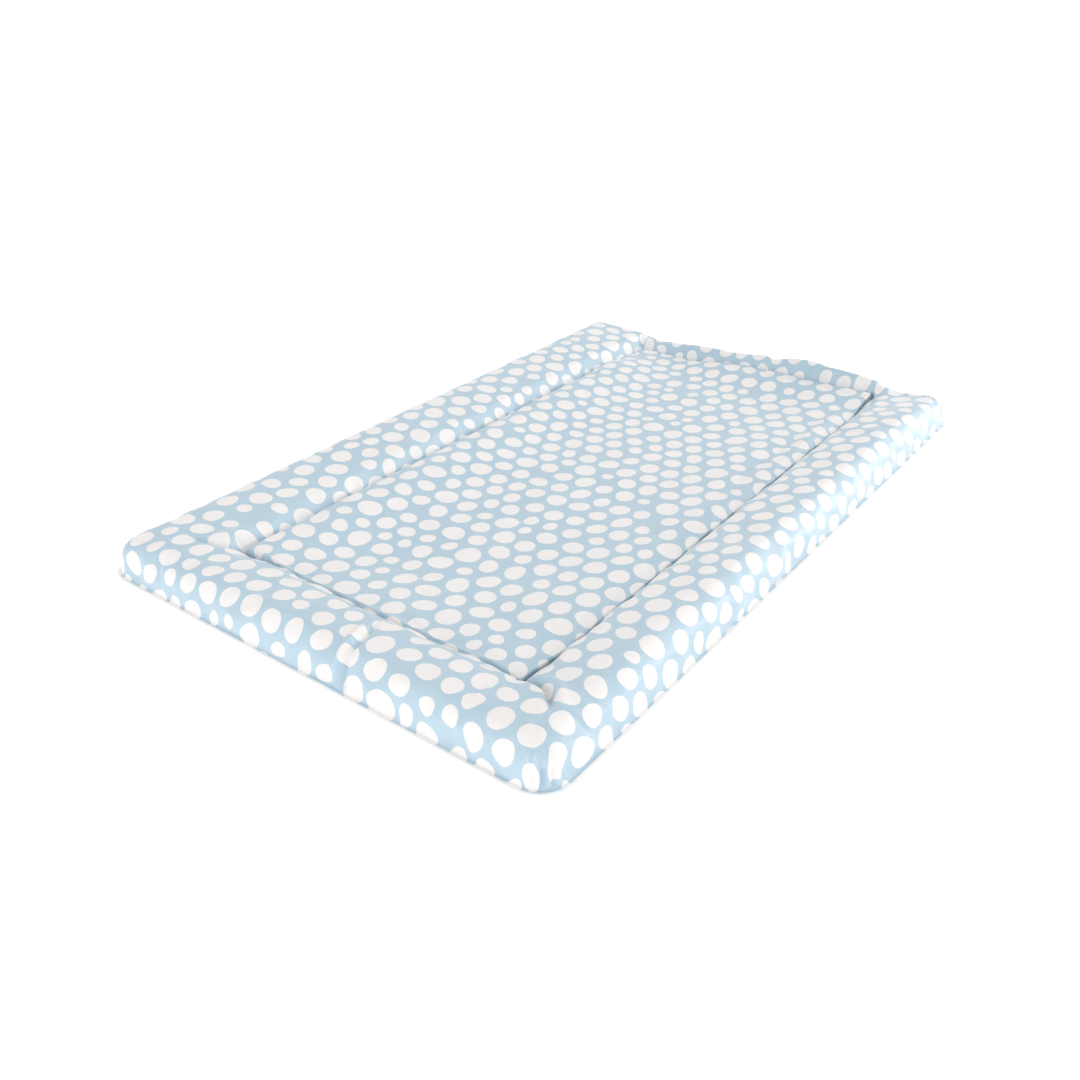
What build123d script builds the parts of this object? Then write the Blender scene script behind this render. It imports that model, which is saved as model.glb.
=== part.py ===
from build123d import *
import os

# A wipe-clean padded changing mat, 750 x 484 x 36 mm.  Millimetres, +Z up, origin at the
# middle of the underside.  +Y runs along the mat towards its far end, which has a narrow
# raised lip.  The near end (-Y) and both long sides carry wide raised rolls.
#
# It is made of two vinyl sheets welded together round the rim and along four inner lines.
# The welds make five chambers, and each chamber holds its own filling.

os.makedirs("parts", exist_ok=True)

# ---- driving dimensions -------------------------------------------------------------
overall_length = 750.0      # along Y, over the weld flange
overall_width = 484.0       # along X, over the weld flange
weld_flange = 4.0           # flat welded rim outside the rolls
flange_radius = 28.0        # plan radius of the four corners of the rim
cover_rim = 2.5             # how much of the flange the printed cover reaches over
base_thickness = 0.5        # plain vinyl backing sheet
skin = 0.5                  # printed vinyl top cover

roll_height = 36.0          # crest of the rolls and of the far lip
roll_width = 85.0           # outer wall to the inner weld line: both sides and near end
lip_width = 24.0            # outer wall to the inner weld line at the far end
shoulder_radius = 20.0      # outer wall to crest
weld_land = 3.0             # width of the flat welded lines between the chambers
panel_height = 16.0         # top of the centre panel

# Inner wall of a wide roll, from its weld line to its crest: (inwards from the body's
# outer wall, height).
roll_wall = [(83.5, 1.0), (82.0, 8.0), (78.5, 16.0), (73.5, 23.0), (66.0, 29.5), (54.0, 33.5), (36.0, 36.0)]
# Inner wall of the far lip, which is steep.
lip_wall = [(22.5, 1.0), (22.0, 12.0), (20.5, 21.0), (18.0, 29.0), (14.5, 33.6), (9.0, 36.0)]
# Edge of the centre panel, from its weld line to its flat top: (inwards from the weld
# land, height).
panel_edge = [(0.0, 1.0), (2.0, 6.5), (5.5, 10.5), (11.0, 13.8), (18.0, 15.5), (27.0, panel_height)]

# ---- derived ------------------------------------------------------------------------
body_length = overall_length - 2 * weld_flange
body_width = overall_width - 2 * weld_flange
body_radius = flange_radius - weld_flange
hw = body_width / 2
hl = body_length / 2
z_floor = base_thickness
z_weld = base_thickness + skin
side_line = hw - roll_width                 # |x| of the two long weld lines
near_line = -(hl - roll_width)              # y of the near weld line
far_line = hl - lip_width                   # y of the far weld line
top = roll_height + 12.0

# Section lines.  e = 0 is the outside of the cover, and e = skin is its inside.
def recess_across(e):
    """Hollow between the two long rolls, seen along Y, as a closed outline in X and Z."""
    right = [(hw - u + e, z - e) for u, z in roll_wall]
    left = [(-x, z) for x, z in reversed(right)]
    return [(-right[-1][0], top), (right[-1][0], top)] + right[::-1] + left[::-1]


def recess_along(e):
    """Hollow between the near roll and the far lip, seen along X, in Y and Z."""
    near = [(-hl + u - e, z - e) for u, z in roll_wall]
    far = [(hl - u + e, z - e) for u, z in lip_wall]
    return [(near[-1][0], top), (far[-1][0], top)] + far[::-1] + near


def panel_across(e):
    """Centre panel seen along Y."""
    half = side_line - weld_land / 2
    right = [(half - u - e, z - e) for u, z in panel_edge]
    return right + [(-x, z) for x, z in reversed(right)]


def panel_along(e):
    """Centre panel seen along X."""
    y0 = near_line + weld_land / 2
    y1 = far_line - weld_land / 2
    return [(y1 - u - e, z - e) for u, z in panel_edge] + [(y0 + u + e, z - e) for u, z in reversed(panel_edge)]


# =====================================================================================
# Construction solids: the padded shape outside and inside the cover
# =====================================================================================
# ring of rolls, outside of the cover
with BuildPart() as ring_outside:
    with BuildSketch(Plane.XY.offset(z_floor)):
        RectangleRounded(body_width, body_length, body_radius)
    extrude(amount=roll_height - z_floor)
    fillet(ring_outside.edges().group_by(Axis.Z)[-1], radius=shoulder_radius)

with BuildPart() as recess_outside:
    with BuildSketch(Plane.XZ.offset(-hl - 10)):
        with BuildLine():
            Polyline(*recess_across(0.0), close=True)
        make_face()
    extrude(amount=body_length + 20)
    with BuildSketch(Plane.YZ.offset(-hw - 10)):
        with BuildLine():
            Polyline(*recess_along(0.0), close=True)
        make_face()
    extrude(amount=body_width + 20, mode=Mode.INTERSECT)

with BuildPart() as panel_outside:
    with BuildSketch(Plane.XZ.offset(-hl - 10)):
        with BuildLine():
            Polyline(*panel_across(0.0), close=True)
        make_face()
    extrude(amount=body_length + 20)
    with BuildSketch(Plane.YZ.offset(-hw - 10)):
        with BuildLine():
            Polyline(*panel_along(0.0), close=True)
        make_face()
    extrude(amount=body_width + 20, mode=Mode.INTERSECT)

# ring of rolls, inside of the cover
with BuildPart() as ring_inside:
    with BuildSketch(Plane.XY.offset(z_floor)):
        RectangleRounded(body_width - 2 * skin, body_length - 2 * skin, body_radius - skin)
    extrude(amount=roll_height - skin - z_floor)
    fillet(ring_inside.edges().group_by(Axis.Z)[-1], radius=shoulder_radius - skin)

with BuildPart() as recess_inside:
    with BuildSketch(Plane.XZ.offset(-hl - 10)):
        with BuildLine():
            Polyline(*recess_across(skin), close=True)
        make_face()
    extrude(amount=body_length + 20)
    with BuildSketch(Plane.YZ.offset(-hw - 10)):
        with BuildLine():
            Polyline(*recess_along(skin), close=True)
        make_face()
    extrude(amount=body_width + 20, mode=Mode.INTERSECT)

with BuildPart() as ring_filling:
    add(ring_inside.part)
    add(recess_inside.part, mode=Mode.SUBTRACT)

# =====================================================================================
# base_sheet: the plain vinyl backing sheet, as wide as the weld flange
# =====================================================================================
with BuildPart() as base_sheet:
    with BuildSketch():
        RectangleRounded(overall_width, overall_length, flange_radius)
    extrude(amount=base_thickness)

# =====================================================================================
# centre_pad: the foam sheet that the baby lies on
# =====================================================================================
with BuildPart() as centre_pad:
    with BuildSketch(Plane.XZ.offset(-hl - 10)):
        with BuildLine():
            Polyline(*panel_across(skin), close=True)
        make_face()
    extrude(amount=body_length + 20)
    with BuildSketch(Plane.YZ.offset(-hw - 10)):
        with BuildLine():
            Polyline(*panel_along(skin), close=True)
        make_face()
    extrude(amount=body_width + 20, mode=Mode.INTERSECT)

# =====================================================================================
# Fillings of the rolls: four separate strips, butted at the corners
# =====================================================================================
with BuildPart() as left_roll_filling:
    add(ring_filling.part)
    with BuildSketch():
        with Locations((-hw + (hw - side_line) / 2, 0)):
            Rectangle(hw - side_line, body_length + 20)
    extrude(amount=top, mode=Mode.INTERSECT)

with BuildPart() as right_roll_filling:
    add(ring_filling.part)
    with BuildSketch():
        with Locations((hw - (hw - side_line) / 2, 0)):
            Rectangle(hw - side_line, body_length + 20)
    extrude(amount=top, mode=Mode.INTERSECT)

with BuildPart() as front_roll_filling:
    add(ring_filling.part)
    with BuildSketch():
        with Locations((0, -hl + roll_width / 2)):
            Rectangle(2 * side_line, roll_width)
    extrude(amount=top, mode=Mode.INTERSECT)

with BuildPart() as far_lip_filling:
    add(ring_filling.part)
    with BuildSketch():
        with Locations((0, hl - lip_width / 2)):
            Rectangle(2 * side_line, lip_width)
    extrude(amount=top, mode=Mode.INTERSECT)

# =====================================================================================
# top_cover: the printed vinyl sheet, drawn over the rolls and the centre panel
# =====================================================================================
with BuildPart() as top_cover:
    # outside
    add(ring_outside.part)
    add(recess_outside.part, mode=Mode.SUBTRACT)
    add(panel_outside.part)
    # weld flange round the rim, and the flat welded lines between the chambers
    with BuildSketch(Plane.XY.offset(z_floor)):
        RectangleRounded(body_width + 2 * cover_rim, body_length + 2 * cover_rim, body_radius + cover_rim)
    extrude(amount=skin)
    # everything that the fillings take up
    add(ring_filling.part, mode=Mode.SUBTRACT)
    add(centre_pad.part, mode=Mode.SUBTRACT)

# =====================================================================================
pieces = {
    "top_cover": top_cover,
    "base_sheet": base_sheet,
    "centre_pad": centre_pad,
    "left_roll_filling": left_roll_filling,
    "right_roll_filling": right_roll_filling,
    "front_roll_filling": front_roll_filling,
    "far_lip_filling": far_lip_filling,
}
for name, piece in pieces.items():
    piece.part.label = name
    export_step(piece.part, f"parts/{name}.step")
    box = piece.part.bounding_box()
    print(f"{name:20s} solids {len(piece.part.solids())}  volume {piece.part.volume / 1000:9.1f} cm3  "
          f"size {box.size.X:.1f} x {box.size.Y:.1f} x {box.size.Z:.1f}  z {box.min.Z:.2f} to {box.max.Z:.2f}")
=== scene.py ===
import math

import bmesh
import bpy
import numpy as np
from mathutils import Matrix, Vector


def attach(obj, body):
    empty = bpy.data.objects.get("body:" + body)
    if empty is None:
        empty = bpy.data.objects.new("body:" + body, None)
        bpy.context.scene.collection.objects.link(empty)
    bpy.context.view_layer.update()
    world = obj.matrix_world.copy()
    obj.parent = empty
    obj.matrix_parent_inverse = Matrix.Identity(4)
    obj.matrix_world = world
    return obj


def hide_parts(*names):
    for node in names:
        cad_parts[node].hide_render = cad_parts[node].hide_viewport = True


# A wipe-clean padded changing mat. Metres, +Z up, +Y towards the far end with the narrow lip.
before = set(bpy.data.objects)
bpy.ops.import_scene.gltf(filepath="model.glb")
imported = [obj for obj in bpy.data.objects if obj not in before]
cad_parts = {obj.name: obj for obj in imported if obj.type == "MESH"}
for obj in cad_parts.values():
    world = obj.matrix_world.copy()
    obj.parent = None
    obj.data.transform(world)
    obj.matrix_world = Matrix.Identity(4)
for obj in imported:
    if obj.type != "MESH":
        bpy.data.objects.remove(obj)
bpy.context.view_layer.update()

MM = 0.001
HW, HL = 238.0, 371.0        # half width and half length of the padded body, mm
CORNER = 24.0                # plan radius of its corners
SEAM_L, SEAM_R = -149.0, 157.0    # the weld lines round the lying area
SEAM_F, SEAM_B = -296.0, 349.0
SEAM_Z = 7.0                 # the weld lines lie a little above the floor
HEM = 3.2                    # and so does the welded hem, where the two sheets meet


# ---------------------------------------------------------------------------- helpers
def lerp(x, pts):
    """Smooth (monotone cubic) interpolation through points [(x, y), ...]."""
    p = np.array(sorted(pts), float)
    px, py = p[:, 0], p[:, 1]
    h = np.diff(px)
    s = np.diff(py) / h
    m = np.zeros(len(px))
    m[1:-1] = np.where(s[:-1] * s[1:] > 0, 2 * s[:-1] * s[1:] / (s[:-1] + s[1:] + 1e-12), 0)
    m[0], m[-1] = s[0], s[-1]
    x = np.clip(np.asarray(x, float), px[0], px[-1])
    k = np.clip(np.searchsorted(px, x) - 1, 0, len(h) - 1)
    t = (x - px[k]) / h[k]
    return (
        (2 * t**3 - 3 * t**2 + 1) * py[k]
        + (t**3 - 2 * t**2 + t) * h[k] * m[k]
        + (-2 * t**3 + 3 * t**2) * py[k + 1]
        + (t**3 - t**2) * h[k] * m[k + 1]
    )


def step(a, b, x):
    t = np.clip((np.asarray(x, float) - a) / (b - a), 0, 1)
    return t * t * (3 - 2 * t)


def smin(a, b, k):
    h = np.clip(0.5 + 0.5 * (b - a) / k, 0, 1)
    return b + (a - b) * h - k * h * (1 - h)


def smax(a, b, k):
    return -smin(-a, -b, k)


def value_noise(x, y, size, seed):
    """Smooth noise in -1..1 with features of about that size."""
    rng = np.random.default_rng(seed)
    n = 128
    g = rng.uniform(-1, 1, (n, n))
    u, v = np.asarray(x, float) / size + 37.3, np.asarray(y, float) / size + 51.7
    i, j = np.floor(u).astype(int), np.floor(v).astype(int)
    a, b = u - i, v - j
    a, b = a * a * a * (a * (6 * a - 15) + 10), b * b * b * (b * (6 * b - 15) + 10)
    i0, j0, i1, j1 = i % n, j % n, (i + 1) % n, (j + 1) % n
    return (g[i0, j0] * (1 - a) + g[i1, j0] * a) * (1 - b) + (g[i0, j1] * (1 - a) + g[i1, j1] * a) * b


def inset(x, y):
    """Distance inwards from the body's outline, whose corners are round."""
    qx, qy = np.abs(x) - (HW - CORNER), np.abs(y) - (HL - CORNER)
    return CORNER - (np.hypot(np.maximum(qx, 0), np.maximum(qy, 0)) + np.minimum(np.maximum(qx, qy), 0))


# ---------------------------------------------------------------------------- the padded shape
OUTER = [(-0.5, 3.0), (0, HEM), (0.35, 5.4), (0.8, 8.6), (1.5, 12.8), (2.8, 17.6), (4.6, 22.0),
         (7.2, 26.2), (10.5, 29.6), (14.5, 32.2), (19, 34.0), (24, 35.0), (32, 35.8), (60, 36.5), (250, 36.5)]
# inner walls of the rolls: distance outwards from the weld line, height
IN_LEFT = [(-1, 6.6), (0, SEAM_Z), (1.4, 12.0), (3.6, 17.0), (6.6, 22.3), (10.0, 26.6), (14, 29.0), (20, 30.2), (30, 31.4),
           (42, 33.0), (54, 34.6), (64, 35.7), (90, 36.4), (300, 36.5)]
IN_RIGHT = [(-1, 6.6), (0, SEAM_Z), (0.7, 9.6), (2.6, 13.6), (5.0, 17.0), (8.2, 20.8), (12.2, 24.4), (17, 26.9), (28, 29.4),
            (40, 32.2), (52, 34.9), (60, 35.9), (90, 36.4), (300, 36.5)]
IN_FRONT = [(-1, 6.6), (0, SEAM_Z), (0.8, 10.4), (2.4, 14.6), (4.6, 18.6), (7.6, 22.4), (11, 25.4), (16, 28.2), (23, 30.0),
            (34, 31.6), (46, 33.2), (56, 34.2), (62, 34.6), (90, 35.0), (300, 35.0)]
LIP_FACE = [(-1, -0.02), (0, 0.0), (1.0, 0.2), (2.6, 0.44), (4.8, 0.69), (7.4, 0.87), (10.5, 0.97), (13.5, 1.0), (40, 1.0)]
LIP_TOP = [(-240, 35), (-190, 34), (-168, 30), (-150, 23), (-133, 20.5), (-109, 22.5), (-74, 26.8), (-52, 29), (-30, 31.6), (-8, 34.2), (13, 37.0),
           (34, 39.0), (54, 41), (75, 42.2), (95, 41.8), (114, 40.4), (134, 38.2), (153, 36), (166, 31.5), (180, 30), (200, 29.5), (240, 29)]
RISE_L = [(-180, 12.0), (-134, 11.8), (-126, 11.3), (-118, 10.2), (-97, 5.3), (-75, 1.9), (-50, 0.3), (-35, 0), (200, 0)]
RISE_R = [(-200, 0), (40, 0), (70, 0.8), (100, 3.2), (122, 5.2), (136, 6.1), (143, 5.6), (150, 3.7), (157, 1.7), (170, 0.8)]
RISE_F = [(-300, 5.6), (-284, 5.9), (-270, 5.0), (-245, 2.3), (-225, 0.6), (-205, 0), (400, 0)]
RISE_B = [(-400, 0), (282, 0), (296, 0.9), (305, 2.2), (319, 5.6), (331, 9.2), (338, 9.9), (360, 9.9)]


def panel_height(x, y):
    """The padded panel between the weld lines: a shallow dish with a rounded edge."""
    l, r, f, b = lerp(x, RISE_L), lerp(x, RISE_R), lerp(y, RISE_F), lerp(y, RISE_B)
    l = l * (1 - 0.75 * step(255, 335, y))
    b = b * (0.25 + 0.75 * step(-100, -5, x))
    p = 2.6
    rise = (l**p + r**p + f**p + b**p) ** (1 / p)
    z = 10.0 + np.minimum(rise, 13.0)
    z = z + 0.5 * value_noise(x, y, 62, 3) + 0.22 * value_noise(x, y, 27, 4)
    edge = np.minimum(np.minimum(x - SEAM_L, SEAM_R - x), np.minimum(y - SEAM_F, SEAM_B - y))
    fall = lerp(np.clip(edge, 0, 20), [(0, 1.0), (0.5, 0.64), (1.4, 0.30), (2.8, 0.11), (5.0, 0.025), (7.5, 0.0), (20, 0.0)])
    z = z * (1 - fall) + SEAM_Z * fall
    return z


def roll_height(x, y):
    """The ring of rolls and the lip round the lying area."""
    d = inset(x, y)
    wx = np.maximum(np.maximum(SEAM_L - x, x - SEAM_R), 0)
    wy = np.maximum(np.maximum(SEAM_F - y, y - SEAM_B), 0)
    left = step(20, -20, x)
    wob = (0.8 * value_noise(y, 0, 34, 33) + 0.4 * value_noise(y, 0, 13, 34)) * step(0, 5, wx)
    side = left * lerp(wx + wob, IN_LEFT) + (1 - left) * lerp(wx + wob, IN_RIGHT)
    front = lerp(wy + 1.5 * value_noise(x, 0, 21, 31) * step(0, 4, wy) + 0.6 * value_noise(x, 0, 9, 32) * step(0, 4, wy), IN_FRONT)
    top = lerp(x, LIP_TOP) + 0.9 * value_noise(x, 0, 17, 8) + 0.6 * value_noise(x, 0, 7.5, 9)
    top = top + 0.5 - 3.4 * np.clip(value_noise(x, 0, 10.5, 14) - 0.15, 0, 1) * step(-70, -30, x) * step(160, 130, x)
    lip = SEAM_Z + (top - SEAM_Z) * lerp(wy, LIP_FACE)
    near = y < 0
    w = np.hypot(wx, wy)
    a = np.arctan2(wy, np.maximum(wx, 1e-9))
    both = (wx > 0) & (wy > 0)
    # at the near corners the two walls meet round the corner of the lying area
    mix = step(0.15, 1.42, a)
    prof_side = left * lerp(w, IN_LEFT) + (1 - left) * lerp(w, IN_RIGHT)
    corner_near = prof_side * (1 - mix) + lerp(w, IN_FRONT) * mix
    z = np.where(wx > 0, side, np.where(near, front, lip))
    z = np.where(both & near, corner_near, z)
    # at the far corners the lip runs on into the rolls
    lip_w = SEAM_Z + (top - SEAM_Z) * lerp(w, LIP_FACE)
    mix_far = step(0.10, 1.30, a)
    corner_far = prof_side * (1 - mix_far) + lip_w * mix_far
    z = np.where(both & ~near, corner_far, z)
    # the rolls sink a little towards their far ends
    sink = step(250, 371, y) * np.where(x < 0, 4.5, 6.0)
    z = z - sink * step(2, 30, wx)
    outer = lerp(d, OUTER)
    lift = np.where(~near, np.maximum(top - 33, 0) * step(0.5, 9, d) * step(30, 0, wx), 0.0)
    return smin(outer + lift, z, 2.2), d


def weld_lift(x, y, wide):
    """The welds across the two ends are drawn up between the fuller padding on both sides."""
    along = step(SEAM_L, SEAM_L + 34, x) * step(SEAM_R, SEAM_R - 26, x)
    ends = along * (7.5 * np.exp(-(((y - SEAM_F) / wide) ** 2)) + 6.5 * step(-80, 10, x) * np.exp(-(((y - SEAM_B) / wide) ** 2)))
    far_right = 7.0 * np.exp(-(((x - SEAM_R) / wide) ** 2)) * step(285, 338, y) * step(SEAM_B + 9, SEAM_B - 1, y)
    far_right = np.maximum(far_right, 7.0 * np.exp(-(((y - SEAM_B) / wide) ** 2)) * step(SEAM_R - 40, SEAM_R - 12, x) * step(SEAM_R + 9, SEAM_R - 1, x))
    return np.maximum(ends, far_right)


def height(x, y):
    x, y = np.asarray(x, float), np.asarray(y, float)
    inside = (x > SEAM_L) & (x < SEAM_R) & (y > SEAM_F) & (y < SEAM_B)
    z, d = roll_height(x, y)
    z = np.where(inside, panel_height(x, y), z) + weld_lift(x, y, 4.0)
    for path, width, amps in FOLDS:
        z = z + fold(x, y, path, width, amps)
    return np.maximum(z, HEM)


def fold(x, y, path, width, amps):
    """A soft fold along a polyline, with one height change per point: above 0 raises the sheet, below 0 presses it in."""
    best = np.full(x.shape, 1e9)
    amp = np.zeros(x.shape)
    for k, ((x0, y0), (x1, y1)) in enumerate(zip(path[:-1], path[1:])):
        L2 = (x1 - x0) ** 2 + (y1 - y0) ** 2
        t = np.clip(((x - x0) * (x1 - x0) + (y - y0) * (y1 - y0)) / L2, 0, 1)
        dd = np.hypot(x - x0 - t * (x1 - x0), y - y0 - t * (y1 - y0))
        amp = np.where(dd < best, amps[k] * (1 - t) + amps[k + 1] * t, amp)
        best = np.minimum(best, dd)
    return amp * np.exp(-((best / width) ** 2))


# (path, half width, height change at each point of the path)
FOLDS = [
    # tucks where the near corners of the lying area pull the sheet down
    ([(-147, -302), (-152, -309), (-162, -314), (-175, -319), (-191, -323)], 3.2, [0, -6.0, -7.0, -4.5, 0]),
    ([(-157, -262), (-158, -280), (-160, -297)], 6.5, [0, 3.5, 5.0]),
    ([(-140, -318), (-152, -322), (-166, -325), (-183, -330)], 5.0, [0, 1.6, 1.7, 0]),
    ([(-157, -290), (-168, -303), (-180, -309)], 6.0, [0, 1.8, 0]),
    ([(157, -296), (170, -299), (178, -301), (185, -303), (192, -308), (197, -313), (204, -321), (210, -330)], 2.9, [0, -7.0, -8.5, -9.0, -8.5, -7.0, -3.5, 0]),
    ([(178, -293), (190, -297), (199, -304), (207, -314), (213, -326)], 4.4, [0, 2.2, 2.6, 1.8, 0]),
    ([(176, -309), (187, -313), (194, -321)], 4.0, [0, 1.6, 0]),
    # one strong pleat over the near roll, from the top down to the hem
    ([(24, -306), (33, -324), (39, -344), (42, -357), (43, -366)], 3.2, [0, 2.0, 3.6, 3.4, 2.2]),
    ([(32, -310), (40, -326), (46, -345), (49, -358), (50, -367)], 2.5, [0, -2.2, -4.8, -4.6, -2.8]),
    ([(-84, -356), (-74, -364), (-68, -371)], 3.6, [0, -1.5, -1.0]),
    ([(-118, -352), (-110, -362), (-108, -371)], 4.0, [0, -1.0, -0.6]),
    ([(-176, -352), (-172, -362), (-170, -370)], 3.4, [0, -1.3, -0.8]),
    ([(126, -350), (129, -361), (131, -370)], 3.4, [0, -1.2, -0.7]),
    ([(214, -352), (221, -362), (226, -369)], 3.4, [0, -1.8, -0.8]),
    # a long shallow valley beside the right weld line, deeper towards the far end, with a soft ridge between the two
    ([(112, -90), (124, 0), (132, 66), (131, 125), (132, 180), (128, 250), (134, 300), (146, 336)], 4.3, [0, -1.2, -2.6, -3.8, -4.8, -5.0, -3.4, 0]),
    ([(132, -60), (142, 30), (145, 110), (145, 190), (142, 262), (147, 322)], 4.8, [0, 1.0, 2.1, 3.0, 3.1, 1.0]),
    ([(96, 150), (112, 215), (124, 280)], 6.0, [0, -0.9, 0]),
]


# ---------------------------------------------------------------------------- flat-sheet coordinates of the cover
def arc_table(pts):
    """x -> extra length along a profile over its plan length."""
    xs = np.linspace(pts[0][0], pts[-1][0], 1500)
    return xs, lerp(xs, pts)


def extra(xs, zs):
    dx, dz = np.diff(xs), np.diff(zs)
    return np.concatenate([[0], np.cumsum(np.hypot(dx, dz) - dx)])


_mx = np.linspace(-(HW - CORNER), HW - CORNER, 2000)
_ex = extra(_mx, height(_mx, np.full_like(_mx, 40.0)))
_ex -= np.interp(0, _mx, _ex)
_my = np.linspace(-(HL - CORNER), HL - 14.0, 2600)
_ey = extra(_my, height(np.full_like(_my, 30.0), _my))
_ey -= np.interp(0, _my, _ey)
_od = np.linspace(0, CORNER, 600)
_eo = extra(_od, lerp(_od, OUTER))
_eo = _eo[-1] - _eo


def flat_xy(x, y, z):
    d = inset(x, y)
    gx = step(-371, -110, y)
    gy = step(-214, -40, x) * (1 - step(40, 214, x))
    fx = x + np.interp(x, _mx, _ex) * gx
    fy = y + np.interp(y, _my, _ey) * gy
    qx = np.sign(x) * np.maximum(np.abs(x) - (HW - CORNER), 0)
    qy = np.sign(y) * np.maximum(np.abs(y) - (HL - CORNER), 0)
    n = np.maximum(np.hypot(qx, qy), 1e-9)
    o = np.interp(np.clip(d, 0, CORNER), _od, _eo) + np.maximum(-d, 0) * 0 + np.maximum(0, 1.0 - z) * 0
    corner = np.minimum(np.abs(qx), np.abs(qy)) / n
    o = o * (1 - 0.45 * np.clip(corner * 1.6, 0, 1))
    return fx + o * qx / n, fy + o * qy / n


# ---------------------------------------------------------------------------- printed pebbles
def pebbles(seed=11):
    """A seeded, relaxed packing of irregular pebbles over the flat sheet. Returns centres, radii and shape terms, in mm."""
    rng = np.random.default_rng(seed)
    w, h, pitch = 330.0, 460.0, 25.0
    rows = []
    for j in range(int(2 * h / (pitch * 0.866)) + 1):
        xs = np.arange(-w, w, pitch) + (j % 2) * pitch / 2
        rows.append(np.stack([xs, np.full_like(xs, -h + j * pitch * 0.866)], 1))
    c = np.concatenate(rows)
    n = len(c)
    c = c + rng.normal(0, 3.9, c.shape)
    c = c + 7.0 * np.stack([value_noise(c[:, 0], c[:, 1], 120, seed + 1), value_noise(c[:, 0], c[:, 1], 120, seed + 2)], 1)
    r = np.clip(rng.normal(9.9, 1.1, n), 7.2, 12.2)
    small = rng.random(n) < 0.09
    r = np.where(small, rng.uniform(6.4, 7.8, n), r)
    asp = rng.uniform(1.0, 1.28, n)
    turn = rng.uniform(0, math.pi, n)
    for it in range(60):
        s = np.argsort(c[:, 0], kind="stable")
        cs, rs = c[s], r[s]
        ps = np.zeros_like(cs)
        for k in range(1, 110):
            dx = cs[k:] - cs[:-k]
            if dx[:, 0].min() > 34:
                break
            dist = np.hypot(dx[:, 0], dx[:, 1]) + 1e-6
            want = (rs[k:] + rs[:-k]) * 1.05 + 3.2
            over = np.clip(want - dist, 0, 6)
            v = dx / dist[:, None] * (over * 0.24)[:, None]
            ps[k:] += v
            ps[:-k] -= v
        c[s] += np.clip(ps, -5, 5)
        c[:, 0] = np.clip(c[:, 0], -w, w)
        c[:, 1] = np.clip(c[:, 1], -h, h)
    # where two would still come too close, both are printed a little smaller
    q = np.sqrt(asp)
    for it in range(4):
        s = np.argsort(c[:, 0], kind="stable")
        cut = np.zeros(n)
        for k in range(1, 110):
            i, j = s[:-k], s[k:]
            dx = c[j] - c[i]
            if dx[:, 0].min() > 34:
                break
            dist = np.hypot(dx[:, 0], dx[:, 1]) + 1e-6
            way = np.arctan2(dx[:, 1], dx[:, 0])
            reach = lambda m: r[m] * 1.05 / np.hypot(np.cos(way - turn[m]) / q[m], np.sin(way - turn[m]) * q[m])
            short = np.clip(3.9 - (dist - reach(i) - reach(j)), 0, 6) / 2
            np.maximum.at(cut, i, short)
            np.maximum.at(cut, j, short)
        r = np.maximum(r - cut * 0.8, 5.6)
    terms = np.stack([rng.uniform(-0.045, 0.045, n), rng.uniform(0, 6.283, n), rng.uniform(0.0, 0.045, n), rng.uniform(0, 6.283, n)], 1)
    return c, r, asp, turn, terms


def pebble_field(fx, fy):
    """Signed distance in mm to the nearest pebble's edge: above 0 inside a pebble."""
    c, r, asp, turn, terms = pebbles()
    out = np.full(len(fx), -9.0)
    cell = 30.0
    key = np.floor(np.stack([fx, fy], 1) / cell).astype(int)
    ck = np.floor(c / cell).astype(int)
    table = {}
    for i, k in enumerate(map(tuple, ck)):
        table.setdefault(k, []).append(i)
    order = np.lexsort((key[:, 1], key[:, 0]))
    ks = key[order]
    cuts = np.flatnonzero(np.any(np.diff(ks, axis=0) != 0, axis=1)) + 1
    for grp in np.split(order, cuts):
        kx, ky = key[grp[0]]
        near = [i for a in (-1, 0, 1) for b in (-1, 0, 1) for i in table.get((kx + a, ky + b), ())]
        if not near:
            continue
        near = np.array(near)
        dx = fx[grp][:, None] - c[near, 0]
        dy = fy[grp][:, None] - c[near, 1]
        ct, st = np.cos(turn[near]), np.sin(turn[near])
        a, b = dx * ct + dy * st, -dx * st + dy * ct
        q = np.sqrt(asp[near])
        a, b = a / q, b * q
        th = np.arctan2(b, a)
        rr = np.hypot(a, b)
        t = terms[near]
        edge = r[near] * (1 + t[:, 0] * np.cos(th - t[:, 1]) * 1.3 + t[:, 2] * np.cos(3 * th - t[:, 3]) + 0.02 * np.cos(2 * th + t[:, 1] * 2))
        two = np.sort(edge - rr, axis=1)
        first = two[:, -1]
        if two.shape[1] > 1:  # neighbours never touch: a thin strip of ground stays between them
            first = np.minimum(first, (two[:, -1] - two[:, -2]) / 2 - 1.5)
        out[grp] = first
    return np.maximum(out, -9.0)


# ---------------------------------------------------------------------------- mesh helpers
def mesh_object(name, verts, faces, smooth=True):
    me = bpy.data.meshes.new(name)
    me.from_pydata([tuple(v) for v in np.asarray(verts)], [], [tuple(int(i) for i in f) for f in faces])
    me.validate()
    me.update()
    if smooth:
        me.shade_smooth()
    ob = bpy.data.objects.new(name, me)
    bpy.context.scene.collection.objects.link(ob)
    return ob


def apply_modifiers(ob):
    dg = bpy.context.evaluated_depsgraph_get()
    me = bpy.data.meshes.new_from_object(ob.evaluated_get(dg), preserve_all_data_layers=True, depsgraph=dg)
    old = ob.data
    ob.modifiers.clear()
    ob.data = me
    me.name = ob.name
    bpy.data.meshes.remove(old)
    me.shade_smooth()
    return ob


def coords(ob):
    a = np.empty(len(ob.data.vertices) * 3)
    ob.data.vertices.foreach_get("co", a)
    return a.reshape(-1, 3)


def set_coords(ob, a):
    ob.data.vertices.foreach_set("co", np.asarray(a, float).ravel())
    ob.data.update()


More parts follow.
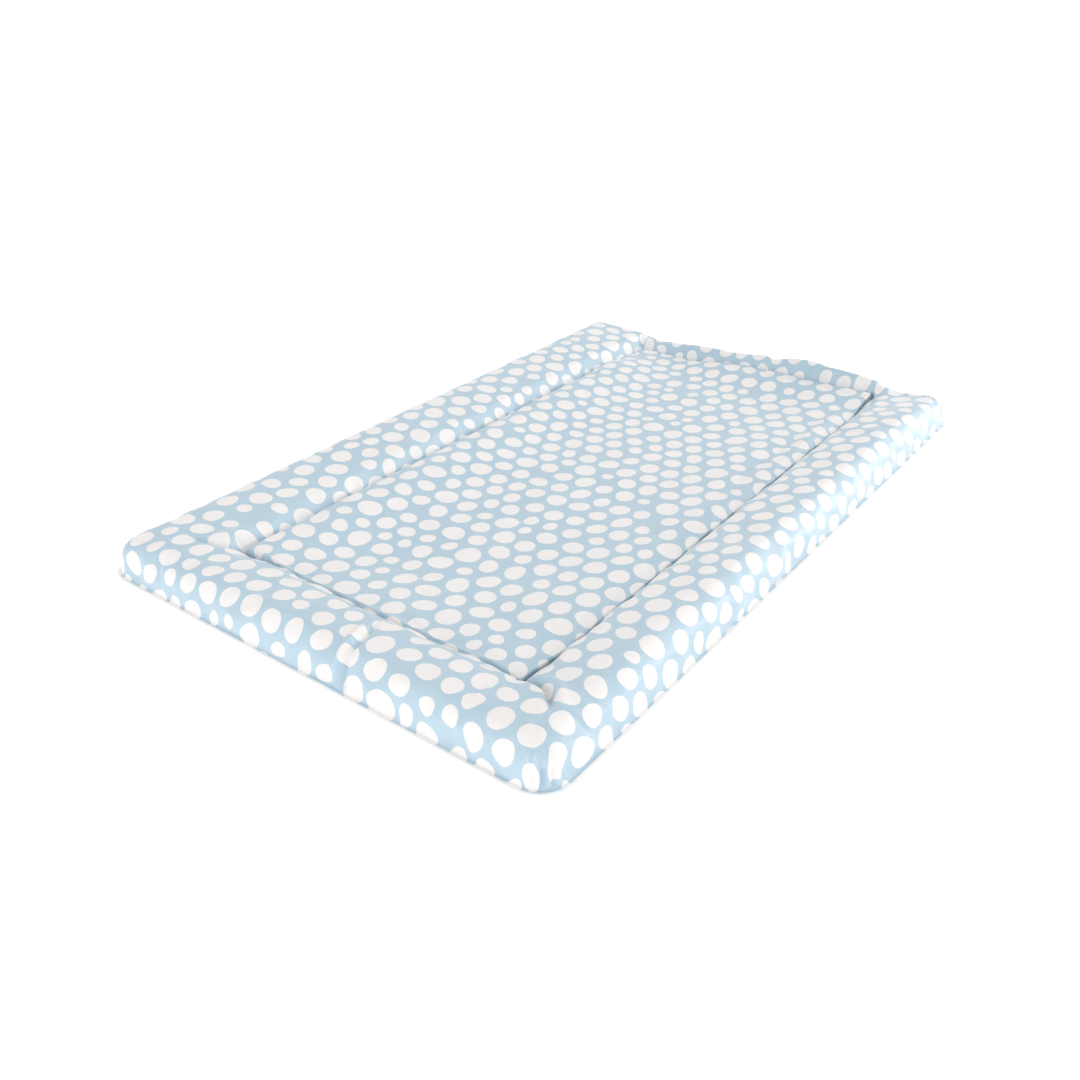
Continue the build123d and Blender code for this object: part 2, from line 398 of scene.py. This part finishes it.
def lines(lo, hi, pitch, stops, fine=(1.3, 3.0, 5.6)):
    """Grid lines from lo to hi: close together at the stops and evenly spaced between them."""
    fixed = {lo, hi}
    for s in stops:
        fixed.add(s)
        for f in fine:
            fixed.update((s - f, s + f))
    fixed = sorted(v for v in fixed if lo <= v <= hi)
    out = []
    for a, b in zip(fixed[:-1], fixed[1:]):
        n = max(1, int(round((b - a) / pitch)))
        out += list(np.linspace(a, b, n, endpoint=False))
    return np.array(out + [hi])


RINGS = [23.3, 22.1, 20.3, 17.6, 14.2, 10.6, 7.4, 5.0, 3.2, 1.9, 1.1, 0.55, 0.15]


def plan_mesh(pitch, rings, rim, fan=24):
    """Plan of the rounded body: a grid of quads inside, rings round it, a fan at each corner. rim is [(outwards, z), ...] past the outline.
    Returns plan points (x, y), ring index (-1 inside), faces."""
    ax, ay = HW - CORNER, HL - CORNER
    gx = lines(-ax, ax, pitch, [SEAM_L, SEAM_R])
    gy = lines(-ay, ay, pitch, [SEAM_F])
    if pitch < 8:  # closer lines where the small folds are
        tight = lambda g, a, b: sorted(set(g) | {(p + q) / 2 for p, q in zip(g[:-1], g[1:]) if p >= a and q <= b and q - p > 2.4})
        gx = tight(tight(tight(gx, 160, 214), 20, 70), -192, -150)
        gx = tight(tight(gx, 30, 58), 174, 212)
        gy = tight(gy, -347, -296)
        gy = tight(gy, -326, -298)
    gy = np.array(sorted(set(gy) | {ay - 1.4, ay - 3.2}))
    gx = np.array(sorted(gx))
    nx, ny = len(gx), len(gy)
    pts = [(x, y) for y in gy for x in gx]
    ring = [-1] * len(pts)
    faces = []
    at = lambda i, j: j * nx + i
    for j in range(ny - 1):
        for i in range(nx - 1):
            faces.append((at(i, j), at(i + 1, j), at(i + 1, j + 1), at(i, j + 1)))
    # boundary loop, counter-clockwise, with its outward direction; corners carry a fan
    loop = []
    def arc(cx, cy, base, a0, first, last):
        for k in range(fan + 1):
            if (k == 0 and not first) or (k == fan and not last):
                continue
            a = a0 + math.pi / 2 * k / fan
            loop.append((cx, cy, math.cos(a), math.sin(a), base))
    for i in range(nx):
        if i == 0:
            continue
        if i < nx - 1:
            loop.append((gx[i], -ay, 0.0, -1.0, at(i, 0)))
    arc(ax, -ay, at(nx - 1, 0), -math.pi / 2, True, True)
    for j in range(1, ny - 1):
        loop.append((ax, gy[j], 1.0, 0.0, at(nx - 1, j)))
    arc(ax, ay, at(nx - 1, ny - 1), 0.0, True, True)
    for i in range(nx - 2, 0, -1):
        loop.append((gx[i], ay, 0.0, 1.0, at(i, ny - 1)))
    arc(-ax, ay, at(0, ny - 1), math.pi / 2, True, True)
    for j in range(ny - 2, 0, -1):
        loop.append((-ax, gy[j], -1.0, 0.0, at(0, j)))
    arc(-ax, -ay, at(0, 0), math.pi, True, True)
    prev = [l[4] for l in loop]
    n = len(loop)
    for k, d in enumerate(list(rings) + [-r for r, _ in rim]):
        start = len(pts)
        for (bx, by, dx, dy, _) in loop:
            pts.append((bx + dx * (CORNER - d), by + dy * (CORNER - d)))
            ring.append(k)
        cur = list(range(start, start + n))
        for i in range(n):
            a, b, c, e = prev[i], prev[(i + 1) % n], cur[(i + 1) % n], cur[i]
            f = (a, e, c, b) if a != b else (a, e, c)
            faces.append(f)
        prev = cur
    return np.array(pts), np.array(ring), faces, n


# ---------------------------------------------------------------------------- cover
def build_cover():
    rim = [(0.0, HEM), (0.8, HEM + 0.02), (1.6, HEM + 0.02), (1.75, HEM - 0.2), (1.6, HEM - 0.4)]
    pts, ring, faces, n_loop = plan_mesh(6.8, RINGS, rim)
    x, y = pts[:, 0], pts[:, 1]
    z = height(x, y)
    nr = len(RINGS)
    for k, (_, rz) in enumerate(rim):
        at = ring == nr + k
        z[at] = rz + 0.25 * (1 + value_noise(x[at] + y[at], 0.7 * y[at], 19, 66))
    fx, fy = flat_xy(x, y, z)
    qx = np.sign(x) * np.maximum(np.abs(x) - (HW - CORNER), 0)
    qy = np.sign(y) * np.maximum(np.abs(y) - (HL - CORNER), 0)
    q = np.maximum(np.hypot(qx, qy), 1e-9)
    ox, oy = qx / q, qy / q
    run = np.where(np.abs(oy) >= np.abs(ox), x + 3000 * (y > 0), y + 6000 + 3000 * (x > 0))   # mm along the side it is on
    low = np.clip(inset(x, y), 0, 30)
    low = step(7.5, 1.5, low) * (ring >= 0)
    corner = np.clip(np.minimum(np.abs(ox), np.abs(oy)) * 2.2, 0, 1)
    turn = np.arctan2(oy, ox)
    g = 0.85 * value_noise(run, 0, 15, 61) + 0.6 * value_noise(run, 3, 8.5, 62)
    g = g * (1 - corner) + corner * np.cos(turn * 20.0 + 1.1)
    depth = (1.7 + 0.7 * value_noise(run, 9, 55, 63)) * (1 + 0.35 * corner)
    hold = step(HEM, HEM + 5, z) * step(33, 17, z)
    x = x + ox * g * depth * low * hold
    y = y + oy * g * depth * low * hold
    pleat = (2.8 * np.exp(-(((x - 43) / 3.2) ** 2)) - 4.4 * np.exp(-(((x - 49.5) / 2.7) ** 2))) * (oy < -0.7) * (ring >= 0)
    pleat = pleat * step(HEM, HEM + 5, z) * step(38, 31, z) * step(16, 8, np.clip(inset(x, y), 0, 30))
    y = y + oy * pleat
    lean = (3.6 * value_noise(run, 5, 21, 64) + 2.2 * value_noise(run, 7, 10, 65)) * step(27, 6, z) * step(12, 2, np.clip(inset(x, y), 0, 30)) * (ring >= 0)
    fx, fy = fx - oy * lean, fy + ox * lean
    ob = mesh_object("cover_printed_vinyl", np.stack([x, y, z], 1) * MM, faces)
    flat = ob.data.attributes.new("flat", "FLOAT_VECTOR", "POINT")
    flat.data.foreach_set("vector", np.stack([fx, fy, np.zeros_like(fx)], 1).ravel() * MM)
    ringa = ob.data.attributes.new("ring", "FLOAT", "POINT")
    ringa.data.foreach_set("value", ring.astype(np.float32))
    return ob


# ---------------------------------------------------------------------------- materials
def new_material(name):
    m = bpy.data.materials.new(name)
    m.use_nodes = True
    nt = m.node_tree
    nt.nodes.clear()
    out = nt.nodes.new("ShaderNodeOutputMaterial")
    bsdf = nt.nodes.new("ShaderNodeBsdfPrincipled")
    nt.links.new(bsdf.outputs["BSDF"], out.inputs["Surface"])
    return m, nt, bsdf


def node(nt, kind, **props):
    n = nt.nodes.new(kind)
    for k, v in props.items():
        setattr(n, k, v)
    return n


def math_node(nt, op, a, b=None, clamp=False):
    n = node(nt, "ShaderNodeMath", operation=op, use_clamp=clamp)
    for i, v in enumerate((a, b)):
        if v is None:
            continue
        if isinstance(v, (int, float)):
            n.inputs[i].default_value = v
        else:
            nt.links.new(v, n.inputs[i])
    return n.outputs[0]


def noise(nt, vec, scale, detail=3.0, rough=0.5):
    n = node(nt, "ShaderNodeTexNoise")
    n.inputs["Scale"].default_value = scale
    n.inputs["Detail"].default_value = detail
    n.inputs["Roughness"].default_value = rough
    nt.links.new(vec, n.inputs["Vector"])
    return n.outputs["Fac"]


def remap(nt, val, a, b, c, d):
    n = node(nt, "ShaderNodeMapRange")
    for i, v in zip(("From Min", "From Max", "To Min", "To Max"), (a, b, c, d)):
        n.inputs[i].default_value = v
    nt.links.new(val, n.inputs["Value"])
    return n.outputs["Result"]


def mix_color(nt, fac, a, b):
    n = node(nt, "ShaderNodeMix", data_type="RGBA")
    if isinstance(fac, (int, float)):
        n.inputs["Factor"].default_value = fac
    else:
        nt.links.new(fac, n.inputs["Factor"])
    for sock, v in ((n.inputs["A"], a), (n.inputs["B"], b)):
        pass
    ins = [s for s in n.inputs if s.type == "RGBA"]
    for sock, v in zip(ins, (a, b)):
        if isinstance(v, tuple):
            sock.default_value = (*v, 1.0)
        else:
            nt.links.new(v, sock)
    return [o for o in n.outputs if o.type == "RGBA"][0]


def printed_vinyl():
    m, nt, bsdf = new_material("printed_vinyl")
    tc = node(nt, "ShaderNodeTexCoord")
    obj = tc.outputs["Object"]
    at = node(nt, "ShaderNodeAttribute", attribute_name="pebble", attribute_type="GEOMETRY")
    sd = at.outputs["Fac"]
    wob = remap(nt, noise(nt, obj, 420, 2.0, 0.5), 0.0, 1.0, -0.10, 0.10)
    edge = math_node(nt, "ADD", sd, wob)
    mask = remap(nt, edge, -0.12, 0.12, 0.0, 1.0)
    blot = noise(nt, obj, 14, 3.0, 0.55)
    ground = mix_color(nt, remap(nt, blot, 0.3, 0.7, 0.0, 1.0), (0.437, 0.585, 0.686), (0.468, 0.614, 0.708))
    speck = noise(nt, obj, 900, 2.0, 0.6)
    ground = mix_color(nt, remap(nt, speck, 0.35, 0.75, 0.0, 0.16), ground, (0.50, 0.65, 0.76))
    dot = mix_color(nt, remap(nt, noise(nt, obj, 33, 2.0, 0.5), 0.3, 0.7, 0.0, 1.0), (0.852, 0.828, 0.815), (0.880, 0.855, 0.842))
    col = mix_color(nt, mask, ground, dot)
    # painted shade: the film is darkened along the weld lines, where the creases lie in shade
    wl = node(nt, "ShaderNodeAttribute", attribute_name="weld", attribute_type="GEOMETRY").outputs["Fac"]
    crease_shade = remap(nt, wl, 0.2, 1.3, 0.85, 0.0)
    col = mix_color(nt, crease_shade, col, (0.06, 0.13, 0.19))
    nt.links.new(col, bsdf.inputs["Base Color"])
    rough = remap(nt, noise(nt, obj, 60, 4.0, 0.6), 0.25, 0.75, 0.30, 0.42)
    nt.links.new(rough, bsdf.inputs["Roughness"])
    bsdf.inputs["IOR"].default_value = 1.50
    bsdf.inputs["Coat Weight"].default_value = 0.35
    bsdf.inputs["Coat Roughness"].default_value = 0.22
    bsdf.inputs["Sheen Weight"].default_value = 0.3
    bsdf.inputs["Sheen Roughness"].default_value = 0.35
    # fine leather-like grain pressed into the film, and a faint unevenness of the film over its padding
    v = node(nt, "ShaderNodeTexVoronoi", feature="DISTANCE_TO_EDGE")
    v.inputs["Scale"].default_value = 1100
    nt.links.new(obj, v.inputs["Vector"])
    grain = remap(nt, v.outputs["Distance"], 0.0, 0.28, 0.0, 1.0)
    b1 = node(nt, "ShaderNodeBump")
    b1.inputs["Strength"].default_value = 0.10
    b1.inputs["Distance"].default_value = 0.00012
    nt.links.new(grain, b1.inputs["Height"])
    b2 = node(nt, "ShaderNodeBump")
    b2.inputs["Strength"].default_value = 0.35
    b2.inputs["Distance"].default_value = 0.0008
    nt.links.new(noise(nt, obj, 75, 3.0, 0.5), b2.inputs["Height"])
    nt.links.new(b1.outputs["Normal"], b2.inputs["Normal"])
    nt.links.new(b2.outputs["Normal"], bsdf.inputs["Normal"])
    return m


def plain_vinyl():
    m, nt, bsdf = new_material("plain_vinyl")
    tc = node(nt, "ShaderNodeTexCoord")
    obj = tc.outputs["Object"]
    blot = noise(nt, obj, 11, 3.0, 0.5)
    col = mix_color(nt, remap(nt, blot, 0.3, 0.7, 0.0, 1.0), (0.90, 0.90, 0.895), (0.94, 0.94, 0.935))
    scuff = remap(nt, noise(nt, obj, 160, 5.0, 0.7), 0.60, 0.78, 0.0, 0.35)
    col = mix_color(nt, scuff, col, (0.84, 0.84, 0.83))
    nt.links.new(col, bsdf.inputs["Base Color"])
    nt.links.new(remap(nt, noise(nt, obj, 45, 3.0, 0.6), 0.25, 0.75, 0.38, 0.52), bsdf.inputs["Roughness"])
    v = node(nt, "ShaderNodeTexVoronoi", feature="DISTANCE_TO_EDGE")
    v.inputs["Scale"].default_value = 800
    nt.links.new(obj, v.inputs["Vector"])
    b1 = node(nt, "ShaderNodeBump")
    b1.inputs["Strength"].default_value = 0.25
    b1.inputs["Distance"].default_value = 0.00015
    nt.links.new(remap(nt, v.outputs["Distance"], 0.0, 0.3, 0.0, 1.0), b1.inputs["Height"])
    nt.links.new(b1.outputs["Normal"], bsdf.inputs["Normal"])
    return m


def soft_fill(name, color, color2, cell, bump, open_cells):
    """Foam with open cells, or loose fibre wadding."""
    m, nt, bsdf = new_material(name)
    tc = node(nt, "ShaderNodeTexCoord")
    obj = tc.outputs["Object"]
    big = noise(nt, obj, 18, 3.0, 0.55)
    col = mix_color(nt, remap(nt, big, 0.3, 0.7, 0.0, 1.0), color, color2)
    if open_cells:
        v = node(nt, "ShaderNodeTexVoronoi", feature="F1")
        v.inputs["Scale"].default_value = cell
        nt.links.new(obj, v.inputs["Vector"])
        h = v.outputs["Distance"]
    else:
        warp = node(nt, "ShaderNodeTexWave", wave_type="BANDS")
        warp.inputs["Scale"].default_value = cell
        warp.inputs["Distortion"].default_value = 14.0
        warp.inputs["Detail"].default_value = 4.0
        nt.links.new(obj, warp.inputs["Vector"])
        h = warp.outputs["Fac"]
    # painted shade: the colour darkens in the hollows that the bump also makes, the foam's pores and the troughs
    # between the wadding's bands
    hollow_shade = remap(nt, h, 0.0, 0.35, 0.35, 0.0)
    col = mix_color(nt, hollow_shade, col, tuple(c * 0.72 for c in color))
    nt.links.new(col, bsdf.inputs["Base Color"])
    bsdf.inputs["Roughness"].default_value = 0.95
    bsdf.inputs["Sheen Weight"].default_value = 0.25
    bsdf.inputs["Sheen Roughness"].default_value = 0.6
    bn = node(nt, "ShaderNodeBump")
    bn.inputs["Strength"].default_value = 0.6
    bn.inputs["Distance"].default_value = bump
    nt.links.new(h, bn.inputs["Height"])
    nt.links.new(bn.outputs["Normal"], bsdf.inputs["Normal"])
    return m


# ---------------------------------------------------------------------------- simulation of the printed film
def neighbours_mean(ob, data, rounds):
    """Smooths per-vertex data over the mesh."""
    e = np.empty(len(ob.data.edges) * 2, np.int32)
    ob.data.edges.foreach_get("vertices", e)
    e = e.reshape(-1, 2)
    n = len(ob.data.vertices)
    cnt = np.bincount(e.ravel(), minlength=n)[:, None]
    for _ in range(rounds):
        acc = np.zeros_like(data)
        np.add.at(acc, e[:, 0], data[e[:, 1]])
        np.add.at(acc, e[:, 1], data[e[:, 0]])
        data = 0.4 * data + 0.6 * acc / cnt
    return data


def wrinkle(ob, pin, slack, cap, keep, frames=20):
    """Cloth simulation of the film over its padding. The film has a little slack and a light pressure under it, and is held at the welds.
    Only the small folds that it makes are kept: the broad shape stays as built, and no point moves by more than cap."""
    rest = coords(ob).copy()
    vg = ob.vertex_groups.new(name="hold")
    for wgt in np.unique(np.round(pin, 2)):
        idx = np.flatnonzero(np.abs(np.round(pin, 2) - wgt) < 1e-6)
        if wgt > 0:
            vg.add([int(i) for i in idx], float(wgt), "REPLACE")
    mod = ob.modifiers.new("film", "CLOTH")
    cs = mod.settings
    cs.quality = 5
    cs.mass = 0.15
    cs.tension_stiffness = 30
    cs.compression_stiffness = 30
    cs.shear_stiffness = 12
    cs.bending_stiffness = 1.2
    cs.tension_damping = cs.compression_damping = cs.shear_damping = 10
    cs.air_damping = 4
    cs.use_pressure = True
    cs.uniform_pressure_force = 4.0
    cs.vertex_group_mass = "hold"
    cs.pin_stiffness = 2.0
    cs.shrink_min = -slack
    cs.effector_weights.gravity = 0
    mod.collision_settings.use_collision = False
    mod.collision_settings.use_self_collision = False
    mod.point_cache.frame_start, mod.point_cache.frame_end = 1, frames
    sc = bpy.context.scene
    for f in range(1, frames + 1):
        sc.frame_set(f)
    dg = bpy.context.evaluated_depsgraph_get()
    ev = ob.evaluated_get(dg).data
    out = np.empty(len(ev.vertices) * 3)
    ev.vertices.foreach_get("co", out)
    out = out.reshape(-1, 3)
    ob.modifiers.clear()
    sc.frame_set(1)
    move = np.nan_to_num(out - rest)
    print("film moved, mm: mean %.2f max %.2f" % (np.linalg.norm(move, axis=1).mean() / MM, np.linalg.norm(move, axis=1).max() / MM))
    length = np.linalg.norm(move, axis=1)
    move *= np.minimum(1, 3 * cap / np.maximum(length, 1e-9))[:, None]
    small = move - neighbours_mean(ob, move, 24)
    length = np.linalg.norm(small, axis=1)
    small *= (cap * np.tanh(length / cap) / np.maximum(length, 1e-9))[:, None]
    print("folds kept, mm: mean %.2f max %.2f" % (length.mean() / MM, length.max() / MM))
    set_coords(ob, rest + small * keep[:, None])


# ---------------------------------------------------------------------------- build
def attribute(ob, name):
    a = ob.data.attributes[name]
    wide = 3 if a.data_type == "FLOAT_VECTOR" else 1
    out = np.empty(len(a.data) * wide)
    a.data.foreach_get("vector" if wide == 3 else "value", out)
    return out.reshape(-1, 3) if wide == 3 else out


cover = build_cover()
co = coords(cover) / MM
x, y = co[:, 0], co[:, 1]
d = inset(x, y)
ring = attribute(cover, "ring")
dx = np.where((y > SEAM_F - 1) & (y < SEAM_B + 1), np.minimum(np.abs(x - SEAM_L), np.abs(x - SEAM_R)), 99)
dy = np.where((x > SEAM_L - 1) & (x < SEAM_R + 1), np.minimum(np.abs(y - SEAM_F), np.abs(y - SEAM_B)), 99)
weld = np.minimum(dx, dy)
pin = np.full(len(x), 0.02)
pin = np.where(weld < 1.6, 1.0, pin)
pin = np.where(d < 0.3, 1.0, pin)
# the film lies smoother on top of the long rolls and in the lying area than low on the walls and beside the welds
keep = 0.26 + 0.5 * step(26, 4, weld) + 0.55 * step(22, 5, d) * np.where(y < -330, 1.0, 0.55) + 0.3 * step(-300, -330, y)
wrinkle(cover, pin, 0.028, 2.2 * MM, np.clip(keep, 0, 1))
sub = cover.modifiers.new("smooth", "SUBSURF")
sub.levels = sub.render_levels = 1
apply_modifiers(cover)

fl = attribute(cover, "flat") / MM
co = coords(cover) / MM


def weld_distance(x, y):
    """Plan distance to the rectangle of weld lines round the lying area."""
    qx = np.abs(x - (SEAM_L + SEAM_R) / 2) - (SEAM_R - SEAM_L) / 2
    qy = np.abs(y - (SEAM_F + SEAM_B) / 2) - (SEAM_B - SEAM_F) / 2
    return np.abs(np.hypot(np.maximum(qx, 0), np.maximum(qy, 0)) + np.minimum(np.maximum(qx, qy), 0))


# painted shade along the weld creases: the "weld" attribute sets how far the darkening reaches, strongest and widest
# along the right crease, weaker and narrower elsewhere
wd = weld_distance(co[:, 0], co[:, 1])
by_right = np.exp(-(((co[:, 0] - SEAM_R) / 6) ** 2))      # the painted crease shade is deepest along this weld
wd = wd * (1.25 - 0.72 * by_right * (1 + 0.25 * value_noise(co[:, 1], 0, 13, 67))) + 0.7 * (1 - by_right)
cover.data.attributes.new("weld", "FLOAT", "POINT").data.foreach_set("value", wd.astype(np.float32))
peb = cover.data.attributes.new("pebble", "FLOAT", "POINT")
peb.data.foreach_set("value", pebble_field(fl[:, 0], fl[:, 1]).astype(np.float32))
uv = cover.data.uv_layers.new(name="FlatUV")
li = np.empty(len(cover.data.loops), np.int32)
cover.data.loops.foreach_get("vertex_index", li)
uv.data.foreach_set("uv", (fl[li, :2] * MM).ravel())
cover.data.materials.append(printed_vinyl())
print("cover faces", len(cover.data.polygons))
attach(cover, "root")
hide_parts("top_cover")


# the plain backing sheet, drawn up a little along the welds
def base_top(x, y):
    dx = np.where((y > SEAM_F) & (y < SEAM_B), np.minimum(np.abs(x - SEAM_L), np.abs(x - SEAM_R)), 1e9)
    dy = np.where((x > SEAM_L) & (x < SEAM_R), np.minimum(np.abs(y - SEAM_F), np.abs(y - SEAM_B)), 1e9)
    cx, cy = np.minimum(np.abs(x - SEAM_L), np.abs(x - SEAM_R)), np.minimum(np.abs(y - SEAM_F), np.abs(y - SEAM_B))
    w = np.minimum(np.minimum(dx, dy), np.hypot(cx, cy))
    lift = (SEAM_Z - 1.2) * np.exp(-((np.maximum(w - 0.8, 0) / 5.5) ** 1.5))
    d = inset(x, y)
    ease = step(0, 14, d)
    lift = lift * ease + weld_lift(x, y, 7.0)
    hem = (HEM - 0.6) * step(9, 0.3, d)
    return 0.5 + lift + hem + 0.12 * (1 + value_noise(x, y, 24, 51)) * step(1, 12, d) * step(2, 14, w)


def build_base():
    rings = [18.0, 12.0, 8.5, 5.5, 3.0, 1.0]
    rim = [(0.4, 0), (1.8, 0), (3.0, 0), (3.9, 0)]
    pts, ring, faces, _ = plan_mesh(9.0, rings, rim, fan=12)
    x, y = pts[:, 0], pts[:, 1]
    z = base_top(x, y)
    z = np.where(ring >= len(rings), HEM - 0.1, z)
    ob = mesh_object("base_plain_vinyl", np.stack([x, y, z], 1) * MM, faces)
    sub = ob.modifiers.new("smooth", "SUBSURF")
    sub.levels = sub.render_levels = 1
    so = ob.modifiers.new("thick", "SOLIDIFY")
    so.thickness, so.offset = 0.45 * MM, -1.0
    apply_modifiers(ob)
    return ob


base = build_base()
base.data.materials.append(plain_vinyl())
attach(base, "root")
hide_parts("base_sheet")


# the fillings: closed forms that fill each chamber just under the film
def build_filling(name, x_lo, x_hi, y_lo, y_hi, pitch=8.0, gap=4.4):
    """A closed form between the backing sheet and the cover. x_lo ... y_hi are its plan edges in mm."""
    nx = max(6, int((x_hi - x_lo) / pitch) | 1)
    ny = max(6, int((y_hi - y_lo) / pitch) | 1)
    ease = lambda n: 0.5 - 0.5 * np.cos(np.pi * np.linspace(0, 1, n))
    mixd = lambda n: 0.55 * np.linspace(0, 1, n) + 0.45 * ease(n)
    sx, sy = np.meshgrid(mixd(nx), mixd(ny))
    x = x_lo + (x_hi - x_lo) * sx
    y = y_lo + (y_hi - y_lo) * sy
    # pull the plan in at the body's round corners
    over = np.maximum(gap - inset(x, y), 0)
    for _ in range(12):
        over = np.maximum(gap - inset(x, y), 0)
        x = x - np.sign(x) * np.where(np.abs(x) > HW - CORNER - gap, over, 0) * 0.6
        y = y - np.sign(y) * np.where(np.abs(y) > HL - CORNER - gap, over, 0) * 0.6
    top = height(x, y)
    for k in range(12):
        a = k * math.pi / 6
        top = np.minimum(top, height(x + gap * 1.15 * math.cos(a), y + gap * 1.15 * math.sin(a)))
    top = top - gap + 0.3 * value_noise(x, y, 11, 71)
    bot = base_top(x, y)
    for rad in (3.5, 7.0):
        for k in range(12):
            a = k * math.pi / 6
            bot = np.maximum(bot, base_top(x + rad * math.cos(a), y + rad * math.sin(a)))
    bot = bot + 0.4
    rim = np.zeros_like(x, bool)
    rim[0, :] = rim[-1, :] = rim[:, 0] = rim[:, -1] = True
    top = np.maximum(top, bot + np.where(rim, 1.2, 2.0))
    n = nx * ny
    verts = np.concatenate([np.stack([x.ravel(), y.ravel(), top.ravel()], 1), np.stack([x.ravel(), y.ravel(), bot.ravel()], 1)])
    faces = []
    for j in range(ny - 1):
        for i in range(nx - 1):
            a, b, c, e = j * nx + i, j * nx + i + 1, (j + 1) * nx + i + 1, (j + 1) * nx + i
            faces.append((a, b, c, e))
            faces.append((a + n, e + n, c + n, b + n))
    loop = [i for i in range(nx)] + [j * nx + nx - 1 for j in range(1, ny)] + [(ny - 1) * nx + i for i in range(nx - 2, -1, -1)] + [j * nx for j in range(ny - 2, 0, -1)]
    for k in range(len(loop)):
        a, b = loop[k], loop[(k + 1) % len(loop)]
        faces.append((a, a + n, b + n, b))
    ob = mesh_object(name, verts * MM, faces)
    return ob


foam_mat = soft_fill("foam", (0.82, 0.80, 0.70), (0.88, 0.86, 0.77), 900, 0.0004, True)
wad_mat = soft_fill("wadding", (0.86, 0.86, 0.85), (0.92, 0.92, 0.91), 60, 0.0009, False)
MID = 2.4
for nm, cad, box, mat, slot_name, fill in (
    ("foam_centre_pad", "centre_pad", (SEAM_L + MID, SEAM_R - MID, SEAM_F + 13.0, SEAM_B - 12.0), foam_mat, "foam", 0.8),
    ("wadding_left_roll", "left_roll_filling", (-HW + 4.0, SEAM_L - MID, -HL + 4.0, HL - 4.0), wad_mat, "wadding", 0.7),
    ("wadding_right_roll", "right_roll_filling", (SEAM_R + MID, HW - 4.0, -HL + 4.0, HL - 4.0), wad_mat, "wadding", 0.7),
    ("wadding_front_roll", "front_roll_filling", (SEAM_L + 0.4, SEAM_R - 0.4, -HL + 4.0, SEAM_F - MID), wad_mat, "wadding", 0.7),
    ("wadding_far_lip", "far_lip_filling", (SEAM_L + 0.4, SEAM_R - 0.4, SEAM_B + MID, HL - 4.0), wad_mat, "wadding", 0.7),
):
    ob = build_filling(nm, *box, pitch=3.0 if nm.endswith("lip") else 8.0)
    ob.data.materials.append(mat)
    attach(ob, "root")
    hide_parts(cad)

# ---------------------------------------------------------------------------- camera, floor and light
cam_data = bpy.data.cameras.new("camera")
cam_data.sensor_width = 36.0
cam_data.lens = 1062.015 / 1080 * 36.0
cam = bpy.data.objects.new("camera", cam_data)
bpy.context.scene.collection.objects.link(cam)
R = ((0.795901, 0.605452, -0.012709), (0.294441, -0.405219, -0.865451), (-0.529049, 0.68493, -0.500784))
right, up, back = Vector(R[0]), -Vector(R[1]), -Vector(R[2])
cam.matrix_world = Matrix(((right.x, up.x, back.x, 0.541376), (right.y, up.y, back.y, -0.768012), (right.z, up.z, back.z, 0.484396), (0, 0, 0, 1)))
cam_data.clip_start, cam_data.clip_end = 0.02, 60
bpy.context.scene.camera = cam

floor = mesh_object("floor", [(-9, -9, 0), (9, -9, 0), (9, 9, 0), (-9, 9, 0)], [(0, 1, 2, 3)], smooth=False)
fm, fnt, fb = new_material("floor_white")
fb.inputs["Base Color"].default_value = (0.93, 0.93, 0.93, 1)
fb.inputs["Roughness"].default_value = 0.75
fb.inputs["Specular IOR Level"].default_value = 0.2
fb.inputs["Emission Color"].default_value = (1, 1, 1, 1)
fb.inputs["Emission Strength"].default_value = 0.42
floor.data.materials.append(fm)

world = bpy.data.worlds.new("studio")
bpy.context.scene.world = world
world.use_nodes = True
bg = world.node_tree.nodes["Background"]
bg.inputs["Color"].default_value = (1, 1, 1, 1)
bg.inputs["Strength"].default_value = 0.84


def area(name, loc, target, size, power, color=(1, 1, 1)):
    l = bpy.data.lights.new(name, "AREA")
    l.shape = "RECTANGLE"
    l.size, l.size_y = size
    l.energy = power
    l.color = color
    o = bpy.data.objects.new(name, l)
    bpy.context.scene.collection.objects.link(o)
    o.location = loc
    o.rotation_mode = "QUATERNION"
    o.rotation_quaternion = (Vector(target) - Vector(loc)).to_track_quat("-Z", "Y")
    return o


area("key", (1.15, 1.75, 1.25), (0.05, 0, 0.02), (2.0, 1.4), 10.5, (1.0, 0.99, 0.975))
area("rim", (1.45, 1.55, 0.34), (0.24, 0, 0.02), (1.6, 0.5), 8.5)
area("side", (1.7, -0.95, 0.55), (0.2, -0.2, 0.02), (1.6, 0.8), 1.2)
area("front", (0.2, -2.1, 0.9), (0, -0.2, 0.0), (1.8, 0.8), 9)
bpy.context.scene.view_settings.view_transform = "Standard"
